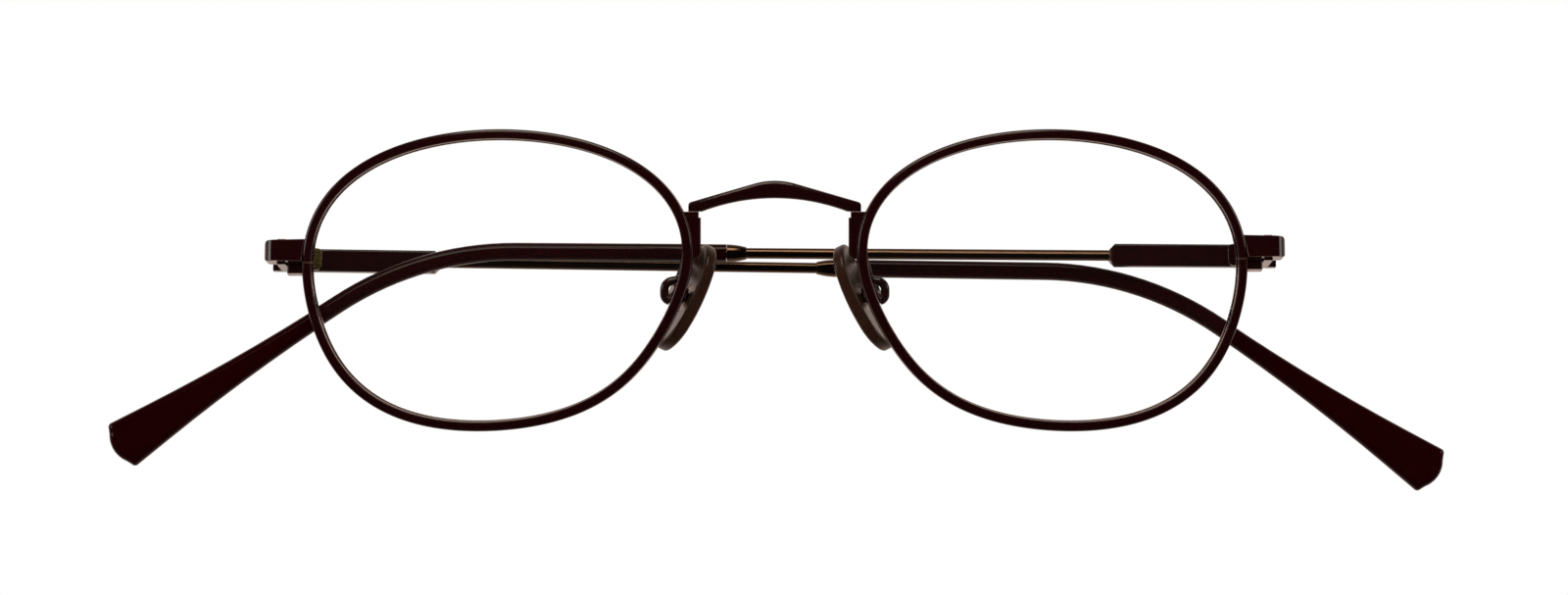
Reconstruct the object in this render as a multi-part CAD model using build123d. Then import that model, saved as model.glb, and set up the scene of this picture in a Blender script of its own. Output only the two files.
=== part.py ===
from build123d import *
from math import asin, cos, hypot, pi, radians, sin, sqrt
import os

# Oval metal eyeglasses, temples folded. Millimetres.
# Row frame: X to the wearer's left, Y from the front towards the face, Z up along the hinge axes.
# Front frame: the same X, with the front upright; it leans forward by pantoscopic_tilt in the row.
# side is +1 for the wearer's left, -1 for the right. Shapes are made for +1 and mirrored.

# Eye size, bridge and temple
lens_width = 45.6
lens_height = 34.55
bridge_width = 21.0
temple_length = 144.8

# How the front is bent and how it sits
pantoscopic_tilt = 9.0
face_wrap = 5.0
base_curve_radius = 125.0

# Clearances
braze_gap = 0.03
overrun = 1.0

# Lens outline: a wavy oval, written as shares of half the lens width and height
outline_points = 36
outline_centre_shares = (0.0162, 0.0204)
outline_radius_shares = (0.9858, 1.0354)
outline_wave_shares = ((0.0203, -0.0256), (-0.0076, 0.0271), (-0.0153, -0.0027), (-0.0009, 0.0089))

# Rim wire: outside beyond the lens edge, groove for the bevel
rim_outside = 0.73
rim_depth = 1.9
groove_depth = 0.4
groove_width = 0.8
rim_split_gap = 0.08

# Lens
lens_thickness = 1.5
lens_front_inset = 0.3
lens_gap = 0.03
bevel_width = 0.7

# Bridge arch, heights above the middle of the lenses
bridge_peak = 11.87
bridge_saddle = 9.77
bridge_peak_flat = 2.2
bridge_end_half = 10.3
bridge_end_top = 9.27
bridge_end_bottom = 8.2
bridge_inner_half = 8.65
bridge_inner_bottom = 8.2
bridge_depth = 1.7
bridge_bow_radius = 62.0
bridge_edge_round = 0.45
bridge_end_round = 0.5
bridge_setback = 0.1

# Strip along the nasal side of each rim, which carries the pad arm
leg_nasal_half = 8.8
leg_bottom = 2.56
leg_setback = 0.2
leg_depth = 1.5
leg_notch_height = 0.7
leg_notch = 0.25
leg_edge_round = 0.2

# Pad arm wire: a gooseneck from the strip to the pad box, as points in the front frame
arm_wire_diameter = 1.05
arm_start = (9.5, 1.1, 3.7)
arm_behind = (10.6, 4.7, 3.0)
arm_above_loop = (11.5, 5.3, 0.1)
arm_loop_top = (13.3, 5.2, -0.2)
arm_loop_bottom = (13.3, 5.2, -2.75)
arm_end = (12.2, 5.2, -2.4)
arm_radii = (1.2, 0.75, 1.08, 0.8)

# Nose pad
pad_length = 13.8
pad_width = 6.6
pad_thickness = 1.5
pad_face_radius = 28.0
pad_edge_round = 0.45
pad_face_centre = (9.4, 6.0, -2.7)
pad_frontal_angle = 25.5
pad_splay_angle = 15.0

# Pad box, its pin and the metal core of the pad
box_stand_off = 0.25
box_mouth = 0.7
box_back = 1.1
box_height = 2.0
box_width = 2.2
slot_width = 1.0
slot_floor = 0.7
lug_width = 0.94
lug_radius = 0.62
pad_pin_diameter = 0.7
pad_pin_head_diameter = 1.2
pad_pin_head = 0.25
pin_clearance = 0.03
core_length = 3.6
core_width = 2.6
core_thickness = 0.5
core_gap = 0.03

# Endpiece: bar that turns back from the rim to the hinge
endpiece_outer_half = 61.4
endpiece_height = 2.7
endpiece_end_height = 2.5
endpiece_wall = 1.15
endpiece_return = 1.5
endpiece_corner_radius = 1.5
endpiece_face_round = 0.55
endpiece_height_left = 4.15
endpiece_height_right = 3.66

# Closing block of each rim
lock_width = 1.9
lock_depth = 1.9
lock_below = 1.3
lock_edge_round = 0.25
lock_screw_diameter = 1.0
lock_screw_head_diameter = 1.5
lock_screw_head = 0.4
lock_screw_clearance = 0.04
screw_slot_width = 0.25
screw_slot_depth = 0.18

# Hinge of three barrels
pivot_depth = 5.5
barrel_diameter = 2.6
barrel_gap = 0.06
hinge_height = 3.1
hinge_screw_diameter = 1.2
hinge_screw_head_diameter = 1.9
hinge_screw_head = 0.4
hinge_clearance = 0.03
leaf_thickness = 1.0
leaf_front_clearance = 0.1
temple_leaf_length = 3.6
temple_leaf_start = 1.05
temple_leaf_thickness = 0.5

# Temple: flat bar, then round wire, then collar and tip
temple_bar_height = 2.75
temple_bar_thickness = 1.4
temple_bar_length = 17.9
temple_bar_inset = 1.45
temple_bar_overhang = 2.5
temple_bar_edge_round = 0.28
temple_bar_step = 0.7
temple_wire_diameter = 1.3
collar_start = 62.0
collar_length = 2.4
collar_small_diameter = 1.5
sleeve_gap = 0.03
bend_start = 89.9
bend_radius = 38.1
bend_angle = 34.0
core_end_margin = 4.0

# Tip sleeve
tip_height = 2.16
tip_thickness = 1.94
tip_edge_round = 0.9
tip_flare_radius = 240.0
tip_flare_length = 26.0
tip_end_lobe = 1.1
tip_end_notch = 0.6
tip_notch_half = 1.95
tip_corner_radius = 0.5

# Folded temples: how far each is turned from lying square across the front, how far its end is
# lifted, and how much further out the right tip sits on its wire than the left one
fold_left = -1.0
fold_right = 1.4
rise_left = 0.2
rise_right = -0.6
tip_shift_right = 1.7

# Worked out from the sizes above
eye_half = lens_width / 2 + rim_outside
eye_x = (bridge_width + lens_width) / 2
wrap = radians(face_wrap)
lean = radians(pantoscopic_tilt)
edge_sag = base_curve_radius - sqrt(base_curve_radius**2 - eye_half**2)
eye_origin_x = eye_x + edge_sag * sin(wrap)
eye_origin_y = eye_half * sin(wrap) - edge_sag * cos(wrap)
rim_side_x = eye_x + eye_half * cos(wrap)
rim_side_y = 2 * eye_half * sin(wrap)
saddle_y = bridge_setback + bridge_depth / 2
pivot_x = endpiece_outer_half - temple_bar_inset - temple_bar_thickness
wire_offset = temple_bar_inset + temple_bar_thickness / 2
barrel_height = (hinge_height - 2 * barrel_gap) / 3
bend = radians(bend_angle)
tip_straight = temple_length - bend_start - bend_radius * bend
pin_x = pad_thickness + box_stand_off + box_mouth


def row_point(x, y, z):
    """A point of the front frame, in the row frame."""
    return (
        x,
        (y - saddle_y) * cos(lean) - (z - bridge_saddle) * sin(lean),
        (y - saddle_y) * sin(lean) + (z - bridge_saddle) * cos(lean),
    )


def to_row(shape):
    """A shape of the front frame, in the row frame."""
    return Rot(pantoscopic_tilt, 0, 0) * Pos(0, -saddle_y, -bridge_saddle) * shape


def eye_place(shape):
    """A shape made about a lens, put into the front frame on the wearer's left."""
    return Pos(eye_origin_x, eye_origin_y, 0) * Rot(0, 0, face_wrap) * shape


def sided(shape, side):
    """The shape as made for the wearer's left, or its mirror image for the right."""
    if side > 0:
        return shape
    return mirror(shape, about=Plane.YZ)


def one_solid(shape):
    """The single largest solid of a shape."""
    return max(shape.solids(), key=lambda solid: solid.volume)


def outline_point(angle, offset):
    """A point of the lens outline, moved outwards along its normal."""
    half_x = lens_width / 2
    half_z = lens_height / 2
    rho = 1
    slope = 0
    for order, (even_share, odd_share) in enumerate(outline_wave_shares, 2):
        rho += even_share * cos(order * angle) + odd_share * sin(order * angle)
        slope += order * (odd_share * cos(order * angle) - even_share * sin(order * angle))
    radius_x = half_x * outline_radius_shares[0]
    radius_z = half_z * outline_radius_shares[1]
    x = half_x * outline_centre_shares[0] + radius_x * rho * cos(angle)
    z = half_z * outline_centre_shares[1] + radius_z * rho * sin(angle)
    along_x = radius_x * (slope * cos(angle) - rho * sin(angle))
    along_z = radius_z * (slope * sin(angle) + rho * cos(angle))
    size = hypot(along_x, along_z)
    return (x + offset * along_z / size, z - offset * along_x / size)


def outline_prism(offset):
    """The outline as a column along the lens axis, deep enough for the whole rim."""
    front = -overrun
    points = []
    for index in range(outline_points):
        x, z = outline_point(2 * pi * index / outline_points, offset)
        points.append((x, front, z))
    face = Face(Wire(Spline(*points, periodic=True).edges()))
    return extrude(face, edge_sag + rim_depth + 2 * overrun, dir=(0, 1, 0))


def curved_slice(column, front, back):
    """The part of a column between two depths behind the front curve."""
    centre = Pos(0, base_curve_radius, 0)
    outer = centre * Sphere(base_curve_radius - front)
    inner = centre * Sphere(base_curve_radius - back)
    return one_solid(column & outer) - inner


def make_rim(split_z):
    """Grooved wire round one lens, on the base curve, cut open at the closing block."""
    column = outline_prism(rim_outside) - outline_prism(-groove_depth)
    ring = one_solid(curved_slice(column, 0, rim_depth))
    groove_front = (rim_depth - groove_width) / 2
    groove = curved_slice(outline_prism(0), groove_front, groove_front + groove_width)
    ring = eye_place(one_solid(ring - groove))
    split = Pos(rim_side_x, rim_side_y, 0) * Box(
        2 * rim_depth, 2 * (rim_depth + edge_sag), rim_split_gap
    )
    x, y, z = row_point(rim_side_x, rim_side_y, 0)
    return one_solid(to_row(ring) - Pos(0, y - rim_side_y, split_z) * split)


def make_lens():
    """Meniscus lens with a bevel round its edge that sits in the groove."""
    body = curved_slice(
        outline_prism(-groove_depth - lens_gap), lens_front_inset, lens_front_inset + lens_thickness
    )
    bevel_front = (rim_depth - bevel_width) / 2
    bevel = curved_slice(outline_prism(-lens_gap), bevel_front, bevel_front + bevel_width)
    return to_row(eye_place(one_solid(body + bevel)))


def rim_envelope():
    """The space of the rim and what is in front of it, with a gap, in the front frame."""
    column = outline_prism(rim_outside + braze_gap)
    return eye_place(one_solid(curved_slice(column, -overrun, rim_depth + braze_gap)))


def bowed(profile, depth_front, depth_back):
    """A profile on the XZ plane, cut from a band that bows forward at the middle."""
    column = extrude(profile, 2 * bridge_bow_radius, dir=(0, 1, 0))
    column = Pos(0, -bridge_bow_radius, 0) * column
    centre = Pos(0, bridge_setback + bridge_bow_radius, 0)
    tall = 2 * (bridge_peak + bridge_depth)
    outer = centre * Cylinder(bridge_bow_radius - depth_front, tall)
    inner = centre * Cylinder(bridge_bow_radius - depth_back, tall)
    outer = Pos(0, 0, bridge_peak) * outer
    inner = Pos(0, 0, bridge_peak) * inner
    pieces = (column & outer) - inner
    return min(pieces.solids(), key=lambda solid: solid.center().Y)


def xz_face(*edges):
    """A face on the XZ plane from edges that are drawn as (x, z) pairs on XY."""
    face = Face(Wire(list(edges)))
    return Rot(90, 0, 0) * face


def make_bridge():
    """Arched bar, thick at its peak and drawn out to a chisel at each end."""
    rise = (bridge_peak - bridge_end_top) * bridge_peak_flat / bridge_end_half
    shoulder = bridge_peak - rise / 2
    top = ThreePointArc(
        (-bridge_peak_flat, shoulder), (0, bridge_peak), (bridge_peak_flat, shoulder)
    )
    right = Line((bridge_peak_flat, shoulder), (bridge_end_half, bridge_end_top))
    end_right = Line((bridge_end_half, bridge_end_top), (bridge_end_half, bridge_end_bottom))
    foot_right = Line((bridge_end_half, bridge_end_bottom), (bridge_inner_half, bridge_inner_bottom))
    under = ThreePointArc(
        (bridge_inner_half, bridge_inner_bottom),
        (0, bridge_saddle),
        (-bridge_inner_half, bridge_inner_bottom),
    )
    foot_left = Line((-bridge_inner_half, bridge_inner_bottom), (-bridge_end_half, bridge_end_bottom))
    end_left = Line((-bridge_end_half, bridge_end_bottom), (-bridge_end_half, bridge_end_top))
    left = Line((-bridge_end_half, bridge_end_top), (-bridge_peak_flat, shoulder))
    profile = xz_face(
        *[piece.edge() for piece in (top, right, end_right, foot_right, under, foot_left, end_left, left)]
    )
    solid = bowed(profile, 0, bridge_depth)
    long_edges = solid.edges().filter_by(lambda edge: edge.length > bridge_end_half / 2)
    solid = fillet(long_edges, bridge_edge_round)
    size = 4 * bridge_end_half
    corner = profile.vertices().group_by(Axis.X)[-1].sort_by(Axis.Z)[-1]
    column = Pos(0, -size / 2, 0) * extrude(fillet(corner, bridge_end_round), size, dir=(0, 1, 0))
    half = one_solid(solid & column & Pos(size / 2, 0, 0) * Box(size, size, size))
    return to_row(one_solid(half + mirror(half, about=Plane.YZ)))


def leg_top_at_bridge():
    """Height where the strip ends, a gap below the foot of the bridge."""
    return bridge_inner_bottom - braze_gap


def make_leg():
    """Strip between bridge and pad arm, in the front frame, shaped to the rim beside it."""
    top = leg_top_at_bridge()
    width = eye_x - lens_width / 2 - leg_nasal_half + rim_outside
    height = top - leg_bottom
    strip = Pos(leg_nasal_half + width / 2, leg_setback + leg_depth / 2, leg_bottom + height / 2) * Box(
        width, leg_depth, height
    )
    lower = strip.edges().filter_by(Axis.Y).group_by(Axis.Z)[0].sort_by(Axis.X)[0]
    strip = fillet(lower, leg_depth / 2)
    notch = Pos(leg_nasal_half, leg_setback + leg_depth / 2, top) * Box(
        2 * leg_notch, 2 * leg_depth, 2 * leg_notch_height
    )
    strip = strip - notch
    long_edges = strip.edges().filter_by(Axis.Z).group_by(Axis.X)[0]
    strip = fillet(long_edges, leg_edge_round)
    return one_solid(strip)


def pad_place(shape):
    """A shape about the pad's face, put into the front frame.

    About the pad, X runs out of its back, Y along its width to the rear and Z along its length.
    """
    return Pos(*pad_face_centre) * Rot(0, 0, -pad_splay_angle) * Rot(0, -pad_frontal_angle, 0) * shape


def make_pad_arm():
    """Strip, gooseneck wire and slotted box, in one piece."""
    path = FilletPolyline(
        arm_start,
        arm_behind,
        arm_above_loop,
        arm_loop_top,
        arm_loop_bottom,
        arm_end,
        radius=list(arm_radii),
    )
    start = Plane(origin=path @ 0, z_dir=path % 0)
    wire = sweep(start * Circle(arm_wire_diameter / 2), path=path)
    depth = box_mouth + box_back
    block = Pos(pin_x - box_mouth + depth / 2, 0, 0) * Box(depth, box_width, box_height)
    block = fillet(block.edges().filter_by(Axis.Y), box_height / 8)
    slot_length = slot_floor + box_mouth + overrun
    slot = Pos(pin_x + slot_floor - slot_length / 2, 0, 0) * Box(slot_length, slot_width, 2 * box_height)
    hole = Pos(pin_x, 0, 0) * Rot(90, 0, 0) * Cylinder(
        pad_pin_diameter / 2 + pin_clearance, 2 * box_width
    )
    arm = make_leg() + wire + pad_place(block)
    head = Pos(pin_x, -box_width / 2 - pad_pin_head, 0) * Rot(90, 0, 0) * Cylinder(
        pad_pin_head_diameter / 2 + pin_clearance, 2 * pad_pin_head
    )
    arm = one_solid(arm - rim_envelope())
    return to_row(one_solid(arm - pad_place(slot) - pad_place(hole) - pad_place(head)))


def make_pad_pin():
    """Slotted screw through the pad box, its head at the front."""
    shank = Rot(90, 0, 0) * Cylinder(pad_pin_diameter / 2, box_width)
    head_y = -box_width / 2 - pad_pin_head / 2
    head = Pos(0, head_y, 0) * Rot(90, 0, 0) * Cylinder(pad_pin_head_diameter / 2, pad_pin_head)
    slot = Pos(0, head_y - pad_pin_head / 2, 0) * Box(
        pad_pin_head_diameter + overrun, screw_slot_depth, screw_slot_width
    )
    return to_row(pad_place(Pos(pin_x, 0, 0) * (shank + head - slot)))


def pad_shell(front, back):
    """A band that follows the curved face of the pad, between two depths from it."""
    centre = Pos(pad_face_radius, 0, 0) * Rot(90, 0, 0)
    outer = centre * Cylinder(pad_face_radius - front, 2 * pad_width)
    inner = centre * Cylinder(pad_face_radius - back, 2 * pad_width)
    return outer - inner


def pad_column(length, width):
    """A slot-shaped column through the pad."""
    face = Plane.YZ * Rot(0, 0, 90) * SlotOverall(length, width)
    return extrude(face, pad_face_radius / 2)


def make_pad():
    """Curved soft pad with a pocket for its core."""
    column = Pos(-overrun, 0, 0) * pad_column(pad_length, pad_width)
    body = one_solid(column & pad_shell(0, pad_thickness))
    rounds = body.edges().filter_by(lambda edge: edge.length > pad_width)
    body = fillet(rounds, pad_edge_round)
    pocket = Pos(pad_thickness - core_thickness - core_gap, 0, 0) * pad_column(
        core_length + 2 * core_gap, core_width + 2 * core_gap
    )
    return to_row(pad_place(one_solid(body - pocket)))


def make_pad_core():
    """Metal plate let into the back of the pad, with the lug that the pin goes through."""
    plate = Pos(pad_thickness - core_thickness, 0, 0) * extrude(
        Plane.YZ * Rot(0, 0, 90) * SlotOverall(core_length, core_width), core_thickness
    )
    reach = pin_x - pad_thickness + core_thickness / 2
    arm = Pos(pin_x - reach / 2, 0, 0) * Box(reach, lug_width, 2 * lug_radius)
    eye = Pos(pin_x, 0, 0) * Rot(90, 0, 0) * Cylinder(lug_radius, lug_width)
    hole = Pos(pin_x, 0, 0) * Rot(90, 0, 0) * Cylinder(pad_pin_diameter / 2 + pin_clearance, overrun * 2)
    return to_row(pad_place(one_solid(plate + arm + eye - hole)))


def hinge_origin(side):
    """Where the hinge axis stands in the row frame, for a shape made on the wearer's left."""
    height = endpiece_height_left if side > 0 else endpiece_height_right
    x, y, z = row_point(rim_side_x, rim_side_y, height)
    return (pivot_x, y + pivot_depth, z)


def make_endpiece(side):
    """Bar that leaves the rim sideways and turns back to the hinge."""
    x, pivot_y, z = hinge_origin(side)
    front = pivot_y - pivot_depth
    inner = rim_side_x - rim_outside
    outer = endpiece_outer_half
    end = pivot_y - temple_bar_overhang - braze_gap
    corner = endpiece_corner_radius
    bow = corner * (1 - cos(radians(45)))
    plan = Face(
        Wire(
            [
                Line((inner, front), (outer - corner, front)).edge(),
                ThreePointArc(
                    (outer - corner, front), (outer - bow, front + bow), (outer, front + corner)
                ).edge(),
                Line((outer, front + corner), (outer, end)).edge(),
                Line((outer, end), (outer - endpiece_return, end)).edge(),
                Line((outer - endpiece_return, end), (outer - endpiece_return, front + endpiece_wall)).edge(),
                Line((outer - endpiece_return, front + endpiece_wall), (inner, front + endpiece_wall)).edge(),
                Line((inner, front + endpiece_wall), (inner, front)).edge(),
            ]
        )
    )
    bar = Pos(0, 0, z - endpiece_height / 2) * extrude(plan, endpiece_height)
    slope = (endpiece_height - endpiece_end_height) / 2
    face = Polyline(
        (inner - overrun, z - endpiece_height / 2),
        (inner, z - endpiece_height / 2),
        (outer, z - endpiece_height / 2 + slope),
        (outer, z + endpiece_height / 2 - slope),
        (inner, z + endpiece_height / 2),
        (inner - overrun, z + endpiece_height / 2),
        close=True,
    )
    front_view = make_face(face)
    front_view = fillet(front_view.vertices().group_by(Axis.X)[-1], endpiece_face_round)
    column = Pos(0, front - overrun, 0) * extrude(
        Rot(90, 0, 0) * front_view, pivot_depth + 2 * overrun, dir=(0, 1, 0)
    )
    bar = one_solid(bar & column)
    bar = one_solid(bar - to_row(rim_envelope()))
    return bar


def split_height(side):
    """Height of the cut through the rim, at the lower edge of the endpiece, in the row frame."""
    return hinge_origin(side)[2] - endpiece_height / 2 + rim_split_gap / 2


def lock_centre(side):
    """Middle of the closing block across X and Y, in the row frame."""
    x, pivot_y, z = hinge_origin(side)
    front = pivot_y - pivot_depth
    return (rim_side_x + lock_width / 2, front + endpiece_wall + braze_gap + lock_depth / 2)


def make_lock(side, upper):
    """Upper or lower half of the closing block that holds the rim shut."""
    x, y = lock_centre(side)
    split = split_height(side)
    z = hinge_origin(side)[2]
    top = z + endpiece_end_height / 2
    if upper:
        low = split + rim_split_gap / 2
        high = top
    else:
        low = split - rim_split_gap / 2 - lock_below
        high = split - rim_split_gap / 2
    margin = rim_outside
    width = lock_width + margin
    block = Pos(x - margin / 2, y, (low + high) / 2) * Box(width, lock_depth, high - low)
    block = fillet(block.edges().filter_by(Axis.Z).group_by(Axis.X)[-1], lock_edge_round)
    block = one_solid(block - to_row(rim_envelope()))
    hole = Pos(x, y, split) * Cylinder(
        lock_screw_diameter / 2 + lock_screw_clearance, 2 * lock_screw_reach(side)
    )
    block = block - hole
    if not upper:
        seat = Pos(x, y, low) * Cylinder(
            lock_screw_head_diameter / 2 + lock_screw_clearance, 2 * lock_screw_head
        )
        block = block - seat
    return one_solid(block)


def lock_screw_reach(side):
    """How far the closing screw reaches above the cut in the rim."""
    return endpiece_end_height * 2 / 3


def make_lock_screw(side):
    """Slotted screw that pulls the two halves of the closing block together from below."""
    x, y = lock_centre(side)
    split = split_height(side)
    low = split - rim_split_gap / 2 - lock_below
    high = split + lock_screw_reach(side)
    shank = Pos(x, y, (low + high) / 2) * Cylinder(lock_screw_diameter / 2, high - low)
    head = Pos(x, y, low + lock_screw_head / 2) * Cylinder(lock_screw_head_diameter / 2, lock_screw_head)
    slot = Pos(x, y, low) * Box(
        lock_screw_head_diameter + overrun, screw_slot_width, 2 * screw_slot_depth
    )
    return one_solid(shank + head - slot)


def barrel(level, extra):
    """One barrel of the hinge at a level of -1, 0 or +1, about the hinge axis."""
    height = barrel_height + extra
    return Pos(0, 0, level * (barrel_height + barrel_gap)) * Cylinder(barrel_diameter / 2, height)


def make_front_leaf(side):
    """Leaf inside the endpiece with the top and bottom barrels."""
    x, y, z = hinge_origin(side)
    outer = endpiece_outer_half - endpiece_return - braze_gap - x
    start = endpiece_wall + braze_gap - pivot_depth
    end = -barrel_diameter / 2 - leaf_front_clearance
    plate = Pos(outer - leaf_thickness / 2, (start + end) / 2, 0) * Box(
        leaf_thickness, end - start, hinge_height
    )
    leaf = plate
    for level in (-1, 1):
        web = Pos(outer / 2, start / 2, level * (barrel_height + barrel_gap)) * Box(
            outer, -start, barrel_height
        )
        keep = Pos(outer - leaf_thickness / 2, start / 2, 0) * Box(
            leaf_thickness, -start, hinge_height
        )
        leaf = leaf + barrel(level, 0) + (web & keep)
    bore = Cylinder(hinge_screw_diameter / 2 + hinge_clearance, 2 * hinge_height)
    seat = Pos(0, 0, hinge_height / 2) * Cylinder(
        hinge_screw_head_diameter / 2 + hinge_clearance, 2 * hinge_screw_head
    )
    return Pos(x, y, z) * one_solid(leaf - bore - seat)


def make_hinge_screw(side):
    """Slotted screw down the hinge axis, its head sunk in the top barrel."""
    x, y, z = hinge_origin(side)
    shank = Cylinder(hinge_screw_diameter / 2, hinge_height)
    head = Pos(0, 0, (hinge_height - hinge_screw_head) / 2) * Cylinder(
        hinge_screw_head_diameter / 2, hinge_screw_head
    )
    slot = Pos(0, 0, hinge_height / 2) * Box(
        hinge_screw_head_diameter + overrun, screw_slot_width, 2 * screw_slot_depth
    )
    return Pos(x, y, z) * one_solid(shank + head - slot)


def tip_shift(side):
    """How much further out the bend, the collar and the tip sit on this temple."""
    return 0 if side > 0 else tip_shift_right


def risen(shape, side):
    """A temple shape inclined about its pivot, as it was adjusted on this side."""
    return Rot(0, -(rise_left if side > 0 else rise_right), 0) * shape


def temple_place(shape, side):
    """A temple shape drawn from its pivot along X with its outer side to +Y, put in the row.

    It is placed as the wearer's right temple would lie, and mirrored for the left one.
    """
    x, y, z = hinge_origin(side)
    angle = fold_left if side > 0 else fold_right
    placed = Pos(-x, y, z) * Rot(0, 0, angle) * shape
    if side > 0:
        return mirror(placed, about=Plane.YZ)
    return placed


def temple_path(start, end):
    """Centre line of the wire from a distance along the straight to one past the bend."""
    middle = bend_start + bend_radius * sin(bend / 2)
    drop = bend_radius * (1 - cos(bend / 2))
    low_x = bend_start + bend_radius * sin(bend)
    low_z = -bend_radius * (1 - cos(bend))
    straight = Line((start, wire_offset, 0), (bend_start, wire_offset, 0))
    arc = ThreePointArc(
        (bend_start, wire_offset, 0), (middle, wire_offset, -drop), (low_x, wire_offset, low_z)
    )
    tail = Line(
        (low_x, wire_offset, low_z),
        (low_x + end * cos(bend), wire_offset, low_z - end * sin(bend)),
    )
    return Wire([straight.edge(), arc.edge(), tail.edge()])


def temple_rod(diameter, start, end):
    """Round rod along the centre line of the temple."""
    path = temple_path(start, end)
    plane = Plane(origin=(start, wire_offset, 0), z_dir=(1, 0, 0))
    return sweep(plane * Circle(diameter / 2), path=path)


def make_temple(side):
    """Flat bar at the hinge drawn down to a round wire that runs on inside the tip."""
    half = temple_bar_height / 2
    end = temple_bar_length
    side_view = make_face(
        Polyline(
            (-temple_bar_overhang, -half),
            (end - temple_bar_step, -half),
            (end, -temple_wire_diameter / 2),
            (end, temple_wire_diameter / 2),
            (end - temple_bar_step, half),
            (-temple_bar_overhang, half),
            close=True,
        )
    )
    bar = Pos(0, temple_bar_inset, 0) * extrude(
        Rot(90, 0, 0) * side_view, temple_bar_thickness, dir=(0, 1, 0)
    )
    rounds = bar.edges().filter_by(Axis.X)
    bar = fillet(rounds, temple_bar_edge_round)
    shift = tip_shift(side)
    start = end - 2 * temple_bar_step - shift
    rod = temple_rod(temple_wire_diameter, start, tip_straight - core_end_margin)
    return temple_place(risen(one_solid(bar + Pos(shift, 0, 0) * rod), side), side)


def make_temple_leaf(side):
    """Leaf on the inner side of the temple with the middle barrel."""
    inner = temple_bar_inset - braze_gap
    length = temple_leaf_length - temple_leaf_start
    plate = Pos(temple_leaf_start + length / 2, inner - temple_leaf_thickness / 2, 0) * Box(
        length, temple_leaf_thickness, temple_bar_height - 2 * barrel_gap
    )
    far = plate.edges().filter_by(Axis.Y).group_by(Axis.X)[-1]
    plate = fillet(far, temple_bar_height / 5)
    web = Pos(temple_leaf_start / 2 + barrel_gap, inner / 2, 0) * Box(
        temple_leaf_start + 2 * barrel_gap, inner, barrel_height
    )
    leaf = plate + barrel(0, 0) + web
    bore = Cylinder(hinge_screw_diameter / 2 + hinge_clearance, 2 * hinge_height)
    return temple_place(one_solid(leaf - bore), side)


def make_collar(side):
    """Metal collar that covers the mouth of the tip, swelling from the wire to the tip."""
    bore = temple_wire_diameter / 2 + sleeve_gap
    small = collar_small_diameter / 2
    large = tip_height / 2
    middle = (small + large) / 2 + (large - small) / 4
    profile = Face(
        Wire(
            [
                Line((0, bore), (0, small)).edge(),
                ThreePointArc((0, small), (collar_length / 2, middle), (collar_length, large)).edge(),
                Line((collar_length, large), (collar_length, bore)).edge(),
                Line((collar_length, bore), (0, bore)).edge(),
            ]
        )
    )
    ring = revolve(profile, axis=Axis.X)
    ring = Pos(collar_start + tip_shift(side), wire_offset, 0) * ring
    return temple_place(risen(ring, side), side)


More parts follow.
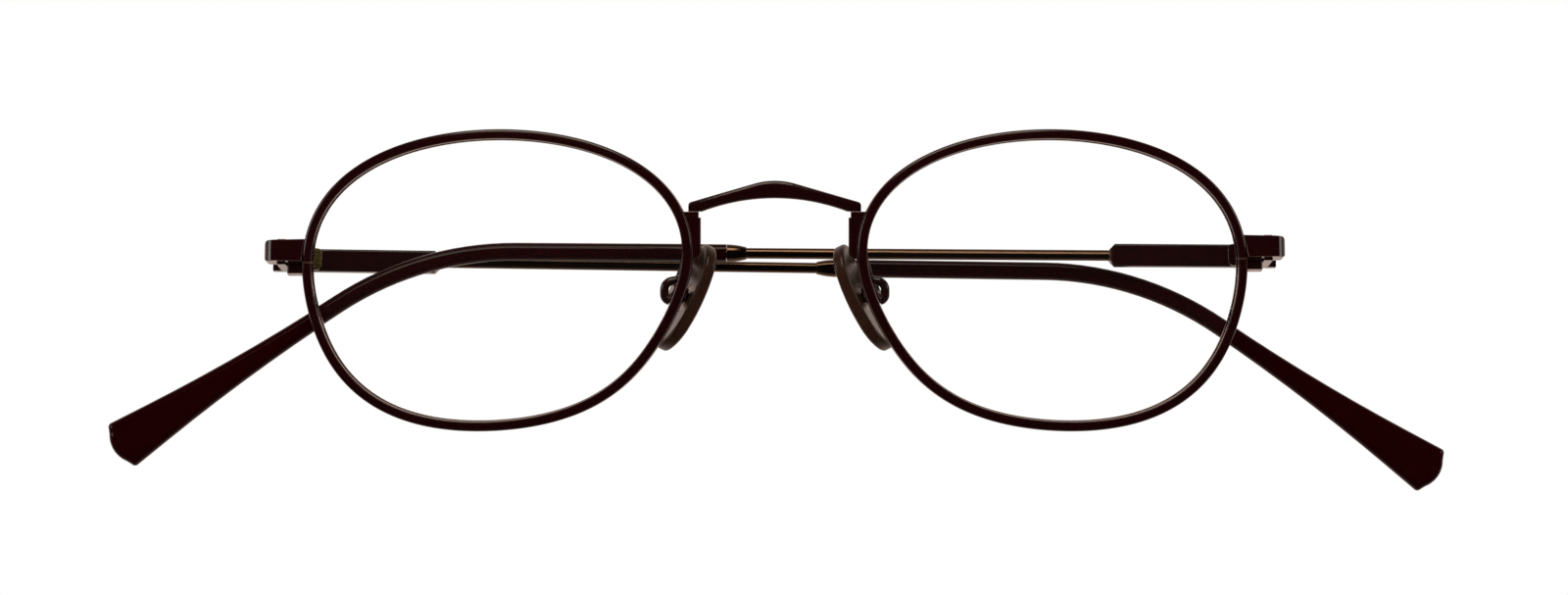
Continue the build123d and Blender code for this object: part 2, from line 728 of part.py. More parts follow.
def make_tip(side):
    """Sleeve over the wire that bends down behind the ear and flares to a scalloped end."""
    half = tip_height / 2
    start = collar_start + collar_length + sleeve_gap
    low_x = bend_start + bend_radius * sin(bend)
    low_z = -bend_radius * (1 - cos(bend))

    def along(distance, across):
        """A point past the bend: distance along the tip and across it, upwards positive."""
        return (
            low_x + distance * cos(bend) + across * sin(bend),
            low_z - distance * sin(bend) + across * cos(bend),
        )

    def bend_point(angle, radius):
        """A point of an arc about the centre of the bend."""
        return (bend_start + radius * sin(angle), -bend_radius + radius * cos(angle))

    flare = asin(tip_flare_length / tip_flare_radius)
    rise = tip_flare_radius * (1 - cos(flare))
    mid_x = tip_flare_radius * sin(flare / 2)
    mid_rise = tip_flare_radius * (1 - cos(flare / 2))
    lobe = tip_straight - tip_end_lobe
    wide = half + rise + (lobe - tip_flare_length) * sin(flare) / cos(flare)
    edges = []
    outer = bend_radius + half
    inner = bend_radius - half
    edges.append(Line((start, half), (bend_start, half)))
    edges.append(
        ThreePointArc(bend_point(0, outer), bend_point(bend / 2, outer), bend_point(bend, outer))
    )
    edges.append(
        ThreePointArc(
            along(0, half), along(mid_x, half + mid_rise), along(tip_flare_length, half + rise)
        )
    )
    edges.append(Line(along(tip_flare_length, half + rise), along(lobe, wide)))
    notch = tip_straight - tip_end_notch
    edges.append(Line(along(lobe, wide), along(notch, tip_notch_half)))
    edges.append(
        ThreePointArc(
            along(notch, tip_notch_half), along(tip_straight, 0), along(notch, -tip_notch_half)
        )
    )
    edges.append(Line(along(notch, -tip_notch_half), along(lobe, -wide)))
    edges.append(Line(along(lobe, -wide), along(tip_flare_length, -half - rise)))
    edges.append(
        ThreePointArc(
            along(tip_flare_length, -half - rise), along(mid_x, -half - mid_rise), along(0, -half)
        )
    )
    edges.append(
        ThreePointArc(bend_point(bend, inner), bend_point(bend / 2, inner), bend_point(0, inner))
    )
    edges.append(Line((bend_start, -half), (start, -half)))
    edges.append(Line((start, -half), (start, half)))
    face = Face(Wire([piece.edge() for piece in edges]))
    corners = face.vertices().filter_by(
        lambda point: hypot(point.X - along(lobe, wide)[0], point.Y - along(lobe, wide)[1]) < sleeve_gap
        or hypot(point.X - along(lobe, -wide)[0], point.Y - along(lobe, -wide)[1]) < sleeve_gap
    )
    face = fillet(corners, tip_corner_radius)
    body = Pos(0, wire_offset - tip_thickness / 2, 0) * extrude(
        Rot(90, 0, 0) * face, tip_thickness, dir=(0, 1, 0)
    )
    body = one_solid(body)
    rounds = []
    for edge in body.edges():
        flat = edge.position_at(0).Y - edge.position_at(1).Y
        if abs(flat) < sleeve_gap and edge.center().X > start + sleeve_gap:
            rounds.append(edge)
    body = fillet(rounds, tip_edge_round)
    bore = temple_rod(
        temple_wire_diameter + 2 * sleeve_gap,
        start - overrun,
        tip_straight - core_end_margin + sleeve_gap,
    )
    body = Pos(tip_shift(side), 0, 0) * one_solid(body - bore)
    return temple_place(risen(body, side), side)


def save(shape, name):
    """Write one node and print its size."""
    box = shape.bounding_box()
    print(
        name,
        len(shape.solids()),
        round(shape.volume, 3),
        [round(value, 2) for value in (*box.min, *box.max)],
    )
    export_step(shape, "parts/" + name + ".step")


os.makedirs("parts", exist_ok=True)
save(make_bridge(), "bridge")
left_lens = make_lens()
left_arm = make_pad_arm()
left_pin = make_pad_pin()
left_pad = make_pad()
left_core = make_pad_core()
for side, word in ((1, "left"), (-1, "right")):
    save(sided(make_rim(split_height(side)), side), "rim_" + word)
    save(sided(left_lens, side), "lens_" + word)
    save(sided(left_arm, side), "pad_arm_" + word)
    save(sided(left_pin, side), "pad_screw_" + word)
    save(sided(left_pad, side), "nose_pad_" + word)
    save(sided(left_core, side), "pad_core_" + word)
    save(sided(make_endpiece(side), side), "endpiece_" + word)
    save(sided(make_lock(side, True), side), "rim_lock_upper_" + word)
    save(sided(make_lock(side, False), side), "rim_lock_lower_" + word)
    save(sided(make_lock_screw(side), side), "rim_lock_screw_" + word)
    save(sided(make_front_leaf(side), side), "hinge_front_leaf_" + word)
    save(sided(make_hinge_screw(side), side), "hinge_screw_" + word)
    save(make_temple(side), "temple_" + word)
    save(make_temple_leaf(side), "hinge_temple_leaf_" + word)
    save(make_collar(side), "tip_collar_" + word)
    save(make_tip(side), "temple_tip_" + word)
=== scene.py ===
"""Oval eyeglasses with folded temples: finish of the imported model, lamps and camera.

Everything is in metres in the row frame: X to the wearer's left, Y towards the face, Z up.
Rims and lenses are new surfaces over their solids; every other piece keeps its solid.
"""

import bmesh
import bpy
import numpy as np
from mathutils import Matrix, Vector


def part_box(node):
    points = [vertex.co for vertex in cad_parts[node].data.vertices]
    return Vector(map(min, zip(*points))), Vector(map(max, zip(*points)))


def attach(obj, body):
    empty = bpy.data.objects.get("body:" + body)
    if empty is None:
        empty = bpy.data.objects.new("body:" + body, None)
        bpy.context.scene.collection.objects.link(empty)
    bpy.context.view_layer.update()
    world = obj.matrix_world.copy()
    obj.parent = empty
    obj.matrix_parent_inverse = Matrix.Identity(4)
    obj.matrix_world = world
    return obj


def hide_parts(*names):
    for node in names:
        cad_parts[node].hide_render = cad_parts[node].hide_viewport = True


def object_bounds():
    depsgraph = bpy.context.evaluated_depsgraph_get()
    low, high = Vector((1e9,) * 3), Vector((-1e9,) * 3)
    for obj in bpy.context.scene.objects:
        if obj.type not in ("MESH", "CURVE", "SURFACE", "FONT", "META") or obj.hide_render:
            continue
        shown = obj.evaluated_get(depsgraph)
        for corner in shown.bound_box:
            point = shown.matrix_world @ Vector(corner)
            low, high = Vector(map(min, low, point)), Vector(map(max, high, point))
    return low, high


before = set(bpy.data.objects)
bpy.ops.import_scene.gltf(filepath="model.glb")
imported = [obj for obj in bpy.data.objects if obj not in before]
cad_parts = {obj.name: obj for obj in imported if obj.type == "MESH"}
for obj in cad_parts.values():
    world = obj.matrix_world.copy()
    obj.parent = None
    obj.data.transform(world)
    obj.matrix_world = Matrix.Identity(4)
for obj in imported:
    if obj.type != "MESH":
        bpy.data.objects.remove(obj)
cad_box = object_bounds()
scene = bpy.context.scene
mm = 0.001
SIDES = (("left", 1.0), ("right", -1.0))

# Camera: square to the front, which leans over the face
CAMERA_DISTANCE = 450 * mm
CAMERA_AIM = (1.107 * mm, 0.909 * mm, -11.813 * mm)
CAMERA_LENS = 86.9
FRONT_LEAN = np.radians(9.0)

# Welding of new surfaces: points nearer than the first are one, edges under the second go
WELD = 0.0005 * mm
SHORT_EDGE = 0.0001 * mm
ROUND_EDGE_ANGLE = 40.0
LENS_EDGE_ANGLE = 20.0

# Front: how a lens sits beside the bridge
FACE_WRAP = np.radians(5.0)
BASE_CURVE = 125.0 * mm
EYE_ORIGIN = (33.49476 * mm, -0.17534 * mm)
SADDLE = (0.95 * mm, 9.77 * mm)

# Outline of a lens
LENS_HALF = (22.8 * mm, 17.275 * mm)
CENTRE_SHARES = (0.0162, 0.0204)
RADIUS_SHARES = (0.9858, 1.0354)
WAVE_SHARES = ((0.0203, -0.0256), (-0.0076, 0.0271), (-0.0153, -0.0027), (-0.0009, 0.0089))

# Section of the rim wire: (beyond the lens edge, behind the front curve, rounding), in mm
RIM_SECTION = (
    (0.76, 0.0, 0.3),
    (-0.36, 0.0, 0.14),
    (-0.46, 0.55, 0.05),
    (0.0, 0.55, 0.04),
    (0.0, 1.35, 0.04),
    (-0.58, 1.35, 0.05),
    (-0.66, 1.9, 0.15),
    (0.73, 1.9, 0.3),
)
RIM_STEPS = 320
CORNER_STEPS = 6
RIM_SPLIT = 0.04 * mm
# Pairs of corners with an inner wall between them; these walls wear a light bare-metal colour that also
# stands for a painted reflection highlight
WALL_CORNERS = ((1, 2), (5, 6))
# Angles between which the rim's cut is looked for
SPLIT_SEARCH = (-0.2, 0.6, 801)

# Section of the lens edge with its bevel: (beyond the lens edge, behind the front curve), in mm
LENS_EDGE = ((-0.33, 0.3), (-0.33, 0.62), (-0.06, 0.95), (-0.4, 1.28), (-0.48, 1.8))
LENS_RINGS = 28
LENS_STEPS = 256


def outline(angle, offset):
    """Points (x, z) of a wavy oval: an ellipse whose radius swells with four waves of the angle,
    moved out along its own normal by offset."""
    rho = np.ones_like(angle)
    slope = np.zeros_like(angle)
    for order, (even, odd) in enumerate(WAVE_SHARES, 2):
        rho = rho + even * np.cos(order * angle) + odd * np.sin(order * angle)
        slope = slope + order * (odd * np.cos(order * angle) - even * np.sin(order * angle))
    radius_x = LENS_HALF[0] * RADIUS_SHARES[0]
    radius_z = LENS_HALF[1] * RADIUS_SHARES[1]
    x = LENS_HALF[0] * CENTRE_SHARES[0] + radius_x * rho * np.cos(angle)
    z = LENS_HALF[1] * CENTRE_SHARES[1] + radius_z * rho * np.sin(angle)
    along_x = radius_x * (slope * np.cos(angle) - rho * np.sin(angle))
    along_z = radius_z * (slope * np.sin(angle) + rho * np.cos(angle))
    size = np.hypot(along_x, along_z)
    return x + offset * along_z / size, z - offset * along_x / size


def on_base_curve(x, z, depth):
    """Points at (x, z) on the sphere that lies depth behind the front curve of a lens."""
    y = BASE_CURVE - np.sqrt((BASE_CURVE - depth) ** 2 - x**2 - z**2)
    return np.stack([x, y, z], axis=-1)


def eye_to_row(points, side):
    """Turns points of the left eye by the wrap, sets them beside the bridge and leans them
    forward; side -1 mirrors them."""
    x, y, z = points[..., 0], points[..., 1], points[..., 2]
    front_x = EYE_ORIGIN[0] + x * np.cos(FACE_WRAP) - y * np.sin(FACE_WRAP)
    front_y = EYE_ORIGIN[1] + x * np.sin(FACE_WRAP) + y * np.cos(FACE_WRAP) - SADDLE[0]
    front_z = z - SADDLE[1]
    row_y = front_y * np.cos(FRONT_LEAN) - front_z * np.sin(FRONT_LEAN)
    row_z = front_y * np.sin(FRONT_LEAN) + front_z * np.cos(FRONT_LEAN)
    return np.stack([side * front_x, row_y, row_z], axis=-1)


def rounded_section(corners, steps):
    """A closed section whose corners are arcs: each arc is tangent to both sides of its corner,
    so its centre lies on the bisector at radius / sin(half the corner's angle)."""
    rows = []
    for index, (u, v, radius) in enumerate(corners):
        here = np.array([u, v])
        before = np.array(corners[index - 1][:2]) - here
        after = np.array(corners[(index + 1) % len(corners)][:2]) - here
        before /= np.linalg.norm(before)
        after /= np.linalg.norm(after)
        half = 0.5 * np.arccos(np.clip(before @ after, -1, 1))
        middle = (before + after) / np.linalg.norm(before + after)
        centre = here + middle * radius / np.sin(half)
        start = here + before * radius / np.tan(half) - centre
        end = here + after * radius / np.tan(half) - centre
        t = np.linspace(0, 1, steps)[:, None]
        swing = np.pi - 2 * half
        arc = (np.sin((1 - t) * swing) * start + np.sin(t * swing) * end) / np.sin(swing)
        rows.append(centre + arc)
    return np.concatenate(rows) * mm


def grid_faces(rows, columns, close_rows, close_columns):
    """Quads between neighbouring points of a grid, wrapping round where a direction is closed."""
    row = np.arange(rows if close_rows else rows - 1)[:, None]
    column = np.arange(columns if close_columns else columns - 1)[None, :]
    next_row = (row + 1) % rows
    next_column = (column + 1) % columns
    quads = np.stack(
        [
            row * columns + column,
            next_row * columns + column,
            next_row * columns + next_column,
            row * columns + next_column,
        ],
        axis=-1,
    )
    return quads.reshape(-1, 4)


def piece(name, points, faces, body, sharp=ROUND_EDGE_ANGLE, shades=None):
    """A finished piece from points and quads: welded, facing outwards, smooth below the sharp angle;
    shades tells which of its materials each face wears."""
    mesh = bpy.data.meshes.new(name)
    mesh.from_pydata(points.reshape(-1, 3).tolist(), [], faces)
    if shades is not None:
        mesh.polygons.foreach_set("material_index", shades)
    form = bmesh.new()
    form.from_mesh(mesh)
    bmesh.ops.remove_doubles(form, verts=form.verts, dist=WELD)
    bmesh.ops.dissolve_degenerate(form, edges=form.edges, dist=SHORT_EDGE)
    bmesh.ops.recalc_face_normals(form, faces=form.faces)
    form.to_mesh(mesh)
    form.free()
    mesh.shade_smooth()
    mesh.set_sharp_from_angle(angle=np.radians(sharp))
    solid = bpy.data.objects.new(name, mesh)
    scene.collection.objects.link(solid)
    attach(solid, body)
    return solid


def split_angle(word, side):
    """Angle on the outline at which the rim is cut, midway between the halves of its block."""
    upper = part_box("rim_lock_upper_" + word)[0].z
    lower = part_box("rim_lock_lower_" + word)[1].z
    angle = np.linspace(*SPLIT_SEARCH)
    x, z = outline(angle, RIM_SECTION[0][0] * mm)
    row = eye_to_row(on_base_curve(x, z, RIM_SECTION[-1][1] * mm / 2), side)
    return np.interp((upper + lower) / 2, row[:, 2], angle)


def rim_wire(word, side):
    """Grooved wire round a lens: the rounded section carried along the outline, where each point
    of the section is moved out along the outline's normal and back behind the base curve."""
    section = rounded_section(RIM_SECTION, CORNER_STEPS)
    cut = split_angle(word, side)
    half_gap = RIM_SPLIT / LENS_HALF[0]
    angle = np.linspace(cut + half_gap, cut + 2 * np.pi - half_gap, RIM_STEPS)
    angles = np.repeat(angle[:, None], len(section), axis=1)
    x, z = outline(angles, section[None, :, 0])
    points = eye_to_row(on_base_curve(x, z, section[None, :, 1]), side)
    faces = grid_faces(RIM_STEPS, len(section), False, True).tolist()
    last = (RIM_STEPS - 1) * len(section)
    faces.append(list(range(len(section)))[::-1])
    faces.append([last + index for index in range(len(section))])
    # Inner-wall faces wear the second material: bare metal painted light, which also stands for the walls'
    # painted reflection highlight
    wall = np.zeros(len(section), dtype=np.int32)
    for first, last_corner in WALL_CORNERS:
        wall[first * CORNER_STEPS + CORNER_STEPS - 1 : last_corner * CORNER_STEPS] = 1
    shades = np.concatenate([np.tile(wall, RIM_STEPS - 1), [0, 0]]).astype(np.int32)
    wire = piece("rim_wire_" + word, points, faces, "front", shades=shades)
    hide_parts("rim_" + word)
    return wire


def meniscus(word, side):
    """Lens with a bevelled edge: rings of the outline shrunk to its centre on the front sphere,
    the edge's section carried round the outline, and the rings again on the back sphere."""
    angle = np.linspace(0, 2 * np.pi, LENS_STEPS, endpoint=False)
    share = np.sin(np.linspace(0, np.pi / 2, LENS_RINGS))
    edge = np.array(LENS_EDGE) * mm
    shares = np.concatenate([share, np.ones(len(edge) - 2), share[::-1]])
    rings = np.concatenate(
        [np.tile(edge[0], (LENS_RINGS, 1)), edge[1:-1], np.tile(edge[-1], (LENS_RINGS, 1))]
    )
    offsets, depths = rings.T
    angles = np.repeat(angle[None, :], len(shares), axis=0)
    x, z = outline(angles, offsets[:, None])
    curved = on_base_curve(x * shares[:, None], z * shares[:, None], depths[:, None])
    points = eye_to_row(curved, side)
    faces = grid_faces(len(shares), LENS_STEPS, False, True).tolist()
    lens = piece("lens_glass_" + word, points, faces, "front", sharp=LENS_EDGE_ANGLE)
    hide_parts("lens_" + word)
    lens.visible_shadow = False
    lens.visible_glossy = False
    lens.visible_diffuse = False
    return lens


def add(tree, kind, settings=None, **inputs):
    """A node with its settings, and its inputs set to a value or linked to a socket."""
    node = tree.nodes.new(kind)
    for key, value in (settings or {}).items():
        setattr(node, key, value)
    for key, value in inputs.items():
        spot = int(key[1:]) if key[0] == "i" and key[1:].isdigit() else key.replace("_", " ")
        if isinstance(value, bpy.types.NodeSocket):
            tree.links.new(value, node.inputs[spot])
        else:
            node.inputs[spot].default_value = value
    return node


def colour(red, green, blue):
    """A colour from the 0 to 255 values of a screen, made linear."""
    values = np.array([red, green, blue]) / 255
    linear = np.where(values <= 0.04045, values / 12.92, ((values + 0.055) / 1.055) ** 2.4)
    return (*linear.tolist(), 1.0)


def new_group(name, inputs, outputs):
    """An empty shader group with float inputs and the outputs given as (name, kind)."""
    group = bpy.data.node_groups.new(name, "ShaderNodeTree")
    for label, value in inputs:
        socket = group.interface.new_socket(label, in_out="INPUT", socket_type="NodeSocketFloat")
        socket.default_value = value
    for label, kind in outputs:
        group.interface.new_socket(label, in_out="OUTPUT", socket_type=kind)
    return group, group.nodes.new("NodeGroupInput"), group.nodes.new("NodeGroupOutput")


# Scales of the coat's two noises, and sizes of its relief and of an edge that is rubbed and carries a painted
# highlight
PEEL_SCALE = 900.0
DUST_SCALE = 5200.0
PEEL_DEPTH = 0.02 * mm
PEEL_STRENGTH = 0.02
EDGE_RADIUS = 0.12 * mm


def lacquer_group():
    """Orange peel and fine dust of a sprayed and polished coat, from two noises."""
    group, given, out = new_group(
        "lacquer_texture",
        (("Peel Scale", PEEL_SCALE), ("Dust Scale", DUST_SCALE), ("Rough Low", 0.1), ("Rough High", 0.2)),
        (("Mottle", "NodeSocketFloat"), ("Roughness", "NodeSocketFloat"), ("Height", "NodeSocketFloat")),
    )
    place = add(group, "ShaderNodeTexCoord").outputs["Object"]
    peel = add(group, "ShaderNodeTexNoise", Vector=place, Scale=given.outputs["Peel Scale"], Detail=2.0)
    dust = add(group, "ShaderNodeTexNoise", Vector=place, Scale=given.outputs["Dust Scale"], Detail=3.0)
    rough = add(
        group,
        "ShaderNodeMapRange",
        Value=dust.outputs["Fac"],
        i1=0.35,
        i2=0.65,
        i3=given.outputs["Rough Low"],
        i4=given.outputs["Rough High"],
    )
    group.links.new(peel.outputs["Fac"], out.inputs["Mottle"])
    group.links.new(rough.outputs["Result"], out.inputs["Roughness"])
    group.links.new(peel.outputs["Fac"], out.inputs["Height"])
    return group


def edge_group():
    """Where an edge is near: how far the normal of a small rounding differs from the surface's."""
    group, given, out = new_group(
        "edge_rub_and_highlight",
        (("Radius", EDGE_RADIUS), ("Gain", 4.0)),
        (("Edge", "NodeSocketFloat"), ("Normal", "NodeSocketVector")),
    )
    rounding = add(group, "ShaderNodeBevel", {"samples": 4}, Radius=given.outputs["Radius"])
    surface = add(group, "ShaderNodeNewGeometry")
    match = add(
        group,
        "ShaderNodeVectorMath",
        {"operation": "DOT_PRODUCT"},
        i0=rounding.outputs["Normal"],
        i1=surface.outputs["Normal"],
    )
    lost = add(group, "ShaderNodeMath", {"operation": "SUBTRACT"}, i0=1.0, i1=match.outputs["Value"])
    scaled = add(
        group,
        "ShaderNodeMath",
        {"operation": "MULTIPLY", "use_clamp": True},
        i0=lost.outputs["Value"],
        i1=given.outputs["Gain"],
    )
    group.links.new(scaled.outputs["Value"], out.inputs["Edge"])
    group.links.new(rounding.outputs["Normal"], out.inputs["Normal"])
    return group


LACQUER = lacquer_group()
EDGE = edge_group()


def start_material(name):
    """A material with its Principled shader, ready to be linked."""
    material = bpy.data.materials.new(name)
    material.use_nodes = True
    tree = material.node_tree
    return material, tree, tree.nodes["Principled BSDF"]


def gloss(
    name, dark, light, rubbed_and_highlight, rough=(0.1, 0.2), metal=0.0, edge_metal=0.0, gain=3.0, shine=0.5
):
    """A polished coat: colour varies a little between dark and light; edges are rubbed thin and also painted
    lighter as a painted highlight.
    """
    material, tree, shader = start_material(name)
    shader.inputs["Specular IOR Level"].default_value = shine
    skin = add(tree, "ShaderNodeGroup", {"node_tree": LACQUER}, Rough_Low=rough[0], Rough_High=rough[1])
    edge = add(tree, "ShaderNodeGroup", {"node_tree": EDGE}, Gain=gain)
    body = add(
        tree,
        "ShaderNodeMix",
        {"data_type": "RGBA"},
        Factor=skin.outputs["Mottle"],
        i6=colour(*dark),
        i7=colour(*light),
    )
    # Edges take the third colour: rubbed wear of the coat together with a painted highlight along the edge
    edge_wear_and_highlight = add(
        tree,
        "ShaderNodeMix",
        {"data_type": "RGBA"},
        Factor=edge.outputs["Edge"],
        i6=body.outputs[2],
        i7=colour(*rubbed_and_highlight),
    )
    relief = add(
        tree,
        "ShaderNodeBump",
        Strength=PEEL_STRENGTH,
        Distance=PEEL_DEPTH,
        Height=skin.outputs["Height"],
        Normal=edge.outputs["Normal"],
    )
    share = add(
        tree,
        "ShaderNodeMapRange",
        Value=edge.outputs["Edge"],
        i1=0.0,
        i2=1.0,
        i3=metal,
        i4=max(metal, edge_metal),
    )
    tree.links.new(edge_wear_and_highlight.outputs[2], shader.inputs["Base Color"])
    tree.links.new(skin.outputs["Roughness"], shader.inputs["Roughness"])
    tree.links.new(share.outputs["Result"], shader.inputs["Metallic"])
    tree.links.new(relief.outputs["Normal"], shader.inputs["Normal"])
    return material


def lens_material():
    """Clear lens with a faint green in its thickness."""
    material, tree, shader = start_material("clear_lens")
    shader.inputs["Base Color"].default_value = (0.985, 1.0, 0.995, 1.0)
    shader.inputs["Transmission Weight"].default_value = 1.0
    shader.inputs["IOR"].default_value = 1.5
    skin = add(tree, "ShaderNodeGroup", {"node_tree": LACQUER}, Rough_Low=0.0, Rough_High=0.004)
    tree.links.new(skin.outputs["Roughness"], shader.inputs["Roughness"])
    return material


BAR_FROM = 40.6 * mm
BAR_BLEND = 0.4 * mm


def two_tone(material, limit, body):
    """The dark coat of the flat bar laid over a wire's metal, where Object X is past the limit."""
    tree = material.node_tree
    shader = tree.nodes["Principled BSDF"]
    place = add(tree, "ShaderNodeTexCoord").outputs["Object"]
    across = add(tree, "ShaderNodeSeparateXYZ", Vector=place).outputs["X"]
    reach = add(tree, "ShaderNodeMath", {"operation": "ABSOLUTE"}, i0=across).outputs["Value"]
    bar = add(
        tree, "ShaderNodeMapRange", Value=reach, i1=limit, i2=limit + BAR_BLEND, i3=0.0, i4=1.0
    )
    metal = shader.inputs["Base Color"].links[0].from_socket
    share = shader.inputs["Metallic"].links[0].from_socket
    coat = add(
        tree, "ShaderNodeMix", {"data_type": "RGBA"}, Factor=bar.outputs["Result"], i6=metal, i7=colour(*body)
    )
    bare = add(tree, "ShaderNodeMix", {"data_type": "FLOAT"}, i0=bar.outputs["Result"], i2=share, i3=0.0)
    tree.links.new(coat.outputs[2], shader.inputs["Base Color"])
    tree.links.new(bare.outputs[0], shader.inputs["Metallic"])
    return material


# Each coat's third colour lies on its edges: on the metal parts rubbed wear together with a painted edge
# highlight, on the plastic tips and pads a painted highlight only
ENAMEL = gloss("dark_enamel", (18, 0, 1), (21, 1, 2), (140, 112, 104), edge_metal=0.6, shine=0.3)
# Inner walls of the rims: bare metal, painted light as a painted reflection highlight as well
WALL = gloss(
    "bare_wall_painted_highlight", (104, 84, 82), (124, 106, 104), (136, 120, 118), rough=(0.2, 0.34), metal=0.9, edge_metal=0.9
)
WIRE = gloss("antique_wire", (64, 49, 38), (78, 61, 48), (132, 106, 82), metal=1.0, edge_metal=1.0, shine=0.3)
WIRE = two_tone(WIRE, BAR_FROM, (20, 0, 1))
HINGE = gloss("hinge_brass", (112, 98, 56), (132, 116, 70), (176, 160, 120), rough=(0.2, 0.34), metal=1.0)
TIP = gloss("tip_acetate", (19, 0, 1), (23, 1, 2), (60, 24, 22), rough=(0.06, 0.12), gain=1.0, shine=0.1)
PAD = gloss("pad_brown", (27, 6, 3), (42, 23, 9), (128, 108, 100), rough=(0.24, 0.38), shine=0.22)
STEEL = gloss("screw_steel", (150, 142, 136), (176, 168, 160), (214, 206, 198), rough=(0.2, 0.36), metal=1.0)
CORE = gloss("pad_core_brass", (70, 50, 30), (88, 66, 40), (140, 116, 84), rough=(0.22, 0.4), metal=1.0)
LENS = lens_material()

FINISHES = {
    "bridge": ENAMEL,
    "pad_arm": ENAMEL,
    "pad_screw": STEEL,
    "nose_pad": PAD,
    "pad_core": CORE,
    "endpiece": ENAMEL,
    "rim_lock_upper": ENAMEL,
    "rim_lock_lower": ENAMEL,
    "rim_lock_screw": STEEL,
    "hinge_front_leaf": ENAMEL,
    "hinge_screw": STEEL,
    "temple": WIRE,
    "hinge_temple_leaf": HINGE,
    "tip_collar": WIRE,
    "temple_tip": TIP,
}


def dress(solid, *materials):
    """Gives a piece its materials; a piece with one wears it all over."""
    shades = np.zeros(len(solid.data.polygons), dtype=np.int32)
    solid.data.polygons.foreach_get("material_index", shades)
    solid.data.materials.clear()
    for material in materials:
        solid.data.materials.append(material)
    solid.data.polygons.foreach_set("material_index", np.minimum(shades, len(materials) - 1))


for name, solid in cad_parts.items():
    kind = name.removesuffix("_left").removesuffix("_right")
    if kind in FINISHES:
        dress(solid, FINISHES[kind])
dress(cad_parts["hinge_temple_leaf_left"], ENAMEL)

for word, side in SIDES:
    dress(rim_wire(word, side), ENAMEL, WALL)
    dress(meniscus(word, side), LENS)


# Floor under the lowest points, see-through from below where the camera stands
FLOOR_GAP = 0.3 * mm
FLOOR_RADIUS = 1.6
FLOOR_STEPS = 96


def floor_disc():
    """A round sheet: a ring of points about a centre, all at the floor's height."""
    angle = np.linspace(0, 2 * np.pi, FLOOR_STEPS, endpoint=False)
    height = np.full(FLOOR_STEPS, cad_box[0][2] - FLOOR_GAP)
    ring = np.stack([FLOOR_RADIUS * np.cos(angle), FLOOR_RADIUS * np.sin(angle), height], axis=-1)
    mesh = bpy.data.meshes.new("floor")
    mesh.from_pydata(ring.tolist(), [], [list(range(FLOOR_STEPS))])
    disc = bpy.data.objects.new("floor", mesh)
    scene.collection.objects.link(disc)
    disc.visible_glossy = False
    material, tree, shader = start_material("pale_floor")
    shader.inputs["Base Color"].default_value = (0.9, 0.9, 0.9, 1.0)
    shader.inputs["Roughness"].default_value = 0.9
    below = add(tree, "ShaderNodeNewGeometry").outputs["Backfacing"]
    clear = add(tree, "ShaderNodeBsdfTransparent").outputs["BSDF"]
    mixed = add(tree, "ShaderNodeMixShader", i0=below, i1=shader.outputs["BSDF"], i2=clear)
    tree.links.new(mixed.outputs["Shader"], tree.nodes["Material Output"].inputs["Surface"])
    dress(disc, material)


floor_disc()


# Room: white behind the glasses and dark behind the camera, as gloss and metal see it
GLOSS_FROM, GLOSS_TO = -0.35, 0.6
GLOSS_DARK, GLOSS_WHITE = 0.03, 1.0
GLOSS_TINT = (1.0, 0.8, 0.7, 1.0)
FILL_LEVEL = 0.55
THROUGH_GLASS = 1.12
HALF_BOUNCE = 0.5
WHITE = (1.0, 1.0, 1.0, 1.0)


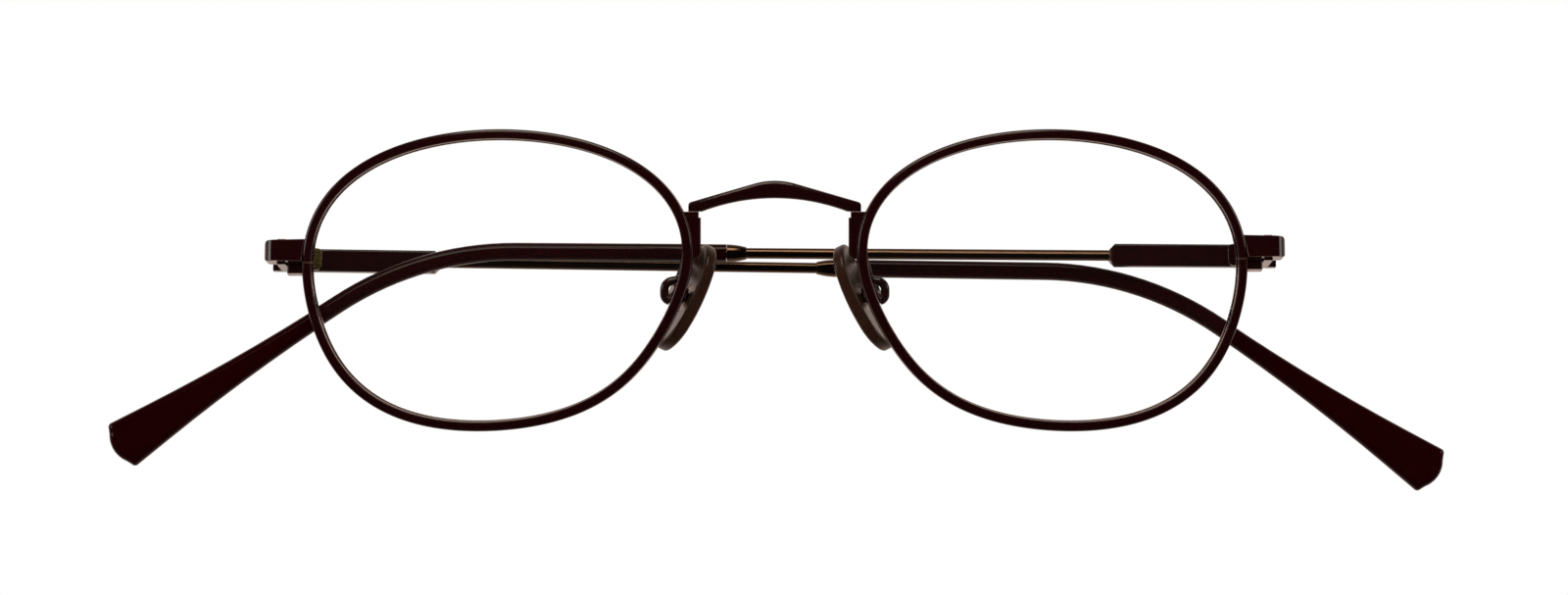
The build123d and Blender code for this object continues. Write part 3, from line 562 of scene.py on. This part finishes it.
def room():
    """World colour: white to the camera, also through glass; to gloss, a blend from dark in front
    to white behind by the direction's Y; even and pale to everything else."""
    world = bpy.data.worlds.new("room")
    world.use_nodes = True
    scene.world = world
    tree = world.node_tree
    tree.nodes.clear()
    path = add(tree, "ShaderNodeLightPath")
    look = add(tree, "ShaderNodeTexCoord").outputs["Generated"]
    parts = add(tree, "ShaderNodeSeparateXYZ", Vector=look)
    behind = add(
        tree,
        "ShaderNodeMapRange",
        {"interpolation_type": "SMOOTHSTEP"},
        Value=parts.outputs["Y"],
        i1=GLOSS_FROM,
        i2=GLOSS_TO,
        i3=GLOSS_DARK,
        i4=GLOSS_WHITE,
    )
    glossy, diffuse = path.outputs["Glossy Depth"], path.outputs["Diffuse Depth"]
    turned = add(tree, "ShaderNodeMath", {"operation": "GREATER_THAN"}, i0=glossy, i1=HALF_BOUNCE)
    gloss_seen = add(
        tree,
        "ShaderNodeMath",
        {"operation": "MAXIMUM"},
        i0=path.outputs["Is Glossy Ray"],
        i1=turned.outputs["Value"],
    )
    bounces = add(tree, "ShaderNodeMath", {"operation": "ADD"}, i0=glossy, i1=diffuse)
    straight = add(
        tree, "ShaderNodeMath", {"operation": "LESS_THAN"}, i0=bounces.outputs["Value"], i1=HALF_BOUNCE
    )
    through = add(
        tree,
        "ShaderNodeMath",
        {"operation": "MULTIPLY"},
        i0=path.outputs["Is Transmission Ray"],
        i1=straight.outputs["Value"],
    )
    seen = add(
        tree,
        "ShaderNodeMath",
        {"operation": "MAXIMUM"},
        i0=path.outputs["Is Camera Ray"],
        i1=through.outputs["Value"],
    )
    number = {"data_type": "FLOAT"}
    fill = add(
        tree,
        "ShaderNodeMix",
        number,
        i0=gloss_seen.outputs["Value"],
        i2=FILL_LEVEL,
        i3=behind.outputs["Result"],
    )
    whole = add(
        tree, "ShaderNodeMix", number, i0=through.outputs["Value"], i2=1.0, i3=THROUGH_GLASS
    )
    level = add(
        tree, "ShaderNodeMix", number, i0=seen.outputs["Value"], i2=fill.outputs[0], i3=whole.outputs[0]
    )
    tint = add(
        tree,
        "ShaderNodeMix",
        {"data_type": "RGBA"},
        Factor=gloss_seen.outputs["Value"],
        i6=WHITE,
        i7=GLOSS_TINT,
    )
    plain = add(
        tree,
        "ShaderNodeMix",
        {"data_type": "RGBA"},
        Factor=seen.outputs["Value"],
        i6=tint.outputs[2],
        i7=WHITE,
    )
    light = add(tree, "ShaderNodeBackground", Color=plain.outputs[2], Strength=level.outputs[0])
    out = add(tree, "ShaderNodeOutputWorld")
    tree.links.new(light.outputs["Background"], out.inputs["Surface"])


room()


def lamp(name, place, size, power, tint):
    """A square area lamp that faces the middle of the glasses."""
    data = bpy.data.lights.new(name, "AREA")
    data.size = size
    data.energy = power
    data.color = tint
    holder = bpy.data.objects.new(name, data)
    scene.collection.objects.link(holder)
    holder.location = place
    aim = np.array(CAMERA_AIM) - np.array(place)
    pitch = np.arctan2(np.hypot(aim[0], aim[1]), -aim[2])
    holder.rotation_euler = (pitch, 0.0, np.arctan2(-aim[0], aim[1]))
    return holder


WARM = (1.0, 0.86, 0.7)
PALE = (1.0, 0.96, 0.92)
lamp("lamp_top", (-0.05, -0.42, 0.42), 0.4, 3.4, WARM)
lamp("lamp_left", (-0.7, -0.25, 0.15), 0.3, 1.6, PALE)
lamp("lamp_right", (0.7, -0.2, 0.2), 0.3, 1.2, PALE)

camera_data = bpy.data.cameras.new("camera")
camera_data.lens = CAMERA_LENS
camera_data.sensor_width = 36.0
camera_data.clip_start = 0.01
camera = bpy.data.objects.new("camera", camera_data)
scene.collection.objects.link(camera)
camera.location = (
    CAMERA_AIM[0],
    CAMERA_AIM[1] - CAMERA_DISTANCE * np.cos(FRONT_LEAN),
    CAMERA_AIM[2] - CAMERA_DISTANCE * np.sin(FRONT_LEAN),
)
camera.rotation_euler = (np.pi / 2 + FRONT_LEAN, 0.0, 0.0)
scene.camera = camera
scene.view_settings.view_transform = "Standard"
